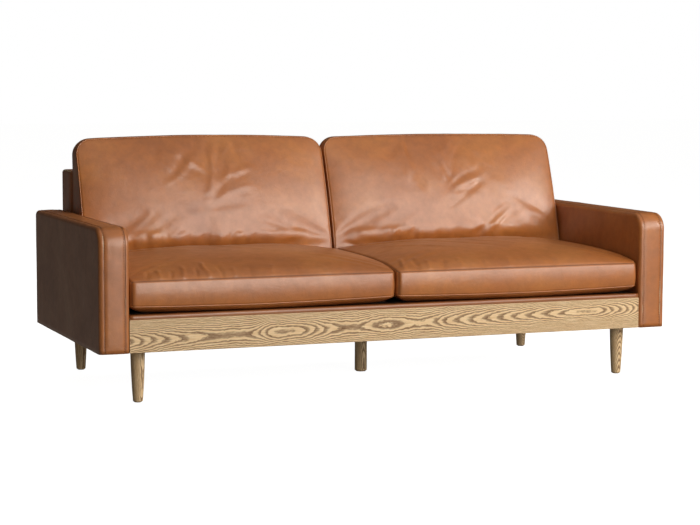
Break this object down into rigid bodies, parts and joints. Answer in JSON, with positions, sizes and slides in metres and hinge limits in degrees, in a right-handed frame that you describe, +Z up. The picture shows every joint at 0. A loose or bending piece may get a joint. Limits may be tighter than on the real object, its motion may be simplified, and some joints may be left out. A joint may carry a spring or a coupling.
{
  "type": "sofa",
  "caption": "Leather sofa with slim box arms, loose seat and back cushions, a wooden show rail along the front and turned wooden legs.",
  "frame": {"origin": "on the floor, midway between the arms and midway between their front and rear faces", "axes": "+X along the sofa towards the sitter's left arm, seen on the right from the front; -Y out of the front of the seat; +Z up"},
  "size_m": [1.88, 0.82, 0.768],
  "materials": {
    "leather": "semi-gloss waxed aniline cowhide, cognac brown",
    "ash": "matt lacquered ash, bold cathedral grain",
    "frame_timber": "sawn pine",
    "hardboard": "smooth hardboard",
    "foam": "open-cell foam and fibre wrap",
    "felt": "pressed felt",
    "lining_cloth": "spun-bonded lining cloth",
    "webbing": "woven elastic webbing",
    "spring_steel": "oiled spring steel",
    "zinc_steel": "zinc-plated steel",
    "zip_chain": "nylon coil zip on brown tape",
    "zip_metal": "antique brass zip slider"
  },
  "bodies": {
    "root": {"back_board": "hardboard", "back_boxing": "leather", "back_frame": "frame_timber", "back_front_cover": "leather", "back_padding": "foam", "back_rear_cover": "leather", "back_webbing": "webbing", "centre_beam": "frame_timber", "deck_cloth": "lining_cloth", "deck_edge_roll": "foam", "deck_felt": "felt", "deck_leather_strip": "leather", "dust_cover": "lining_cloth", "frame_bolts": "zinc_steel", "front_beam": "frame_timber", "front_show_rail": "ash", "hanger_bolts": "zinc_steel", "left_arm_boards": "hardboard", "left_arm_boxing": "leather", "left_arm_frame": "frame_timber", "left_arm_inner_cover": "leather", "left_arm_outer_cover": "leather", "left_arm_padding": "foam", "leg_blocks": "frame_timber", "leg_centre": "ash", "leg_front_left": "ash", "leg_front_right": "ash", "leg_glides": "felt", "leg_plates": "spring_steel", "leg_rear_left": "ash", "leg_rear_right": "ash", "rear_beam": "frame_timber", "right_arm_boards": "hardboard", "right_arm_boxing": "leather", "right_arm_frame": "frame_timber", "right_arm_inner_cover": "leather", "right_arm_outer_cover": "leather", "right_arm_padding": "foam", "seat_springs": "spring_steel", "show_rail_screws": "zinc_steel", "side_beams": "frame_timber", "spring_beam": "frame_timber", "spring_clips": "spring_steel"},
    "left_seat_cushion": {"left_seat_cushion_cover": "leather", "left_seat_cushion_filling": "foam", "left_seat_zip": "zip_chain"},
    "left_seat_slider": {"left_seat_zip_slider": "zip_metal"},
    "left_back_cushion": {"left_back_cushion_cover": "leather", "left_back_cushion_filling": "foam", "left_back_zip": "zip_chain"},
    "left_back_slider": {"left_back_zip_slider": "zip_metal"},
    "right_seat_cushion": {"right_seat_cushion_cover": "leather", "right_seat_cushion_filling": "foam", "right_seat_zip": "zip_chain"},
    "right_seat_slider": {"right_seat_zip_slider": "zip_metal"},
    "right_back_cushion": {"right_back_cushion_cover": "leather", "right_back_cushion_filling": "foam", "right_back_zip": "zip_chain"},
    "right_back_slider": {"right_back_zip_slider": "zip_metal"}
  },
  "joints": [
    {"name": "left_seat_cushion_lift", "type": "slide", "parent": "root", "child": "left_seat_cushion", "axis": [0, 0, 1], "range_m": [0, 0.55]},
    {"name": "left_seat_zip_run", "type": "slide", "parent": "left_seat_cushion", "child": "left_seat_slider", "axis": [1, 0, 0], "range_m": [0, 0.575]},
    {"name": "left_back_cushion_lift", "type": "slide", "parent": "root", "child": "left_back_cushion", "axis": [0, 0, 1], "range_m": [0, 0.55]},
    {"name": "left_back_zip_run", "type": "slide", "parent": "left_back_cushion", "child": "left_back_slider", "axis": [1, 0, 0], "range_m": [0, 0.575]},
    {"name": "right_seat_cushion_lift", "type": "slide", "parent": "root", "child": "right_seat_cushion", "axis": [0, 0, 1], "range_m": [0, 0.55]},
    {"name": "right_seat_zip_run", "type": "slide", "parent": "right_seat_cushion", "child": "right_seat_slider", "axis": [-1, 0, 0], "range_m": [0, 0.575]},
    {"name": "right_back_cushion_lift", "type": "slide", "parent": "root", "child": "right_back_cushion", "axis": [0, 0, 1], "range_m": [0, 0.55]},
    {"name": "right_back_zip_run", "type": "slide", "parent": "right_back_cushion", "child": "right_back_slider", "axis": [-1, 0, 0], "range_m": [0, 0.575]}
  ]
}
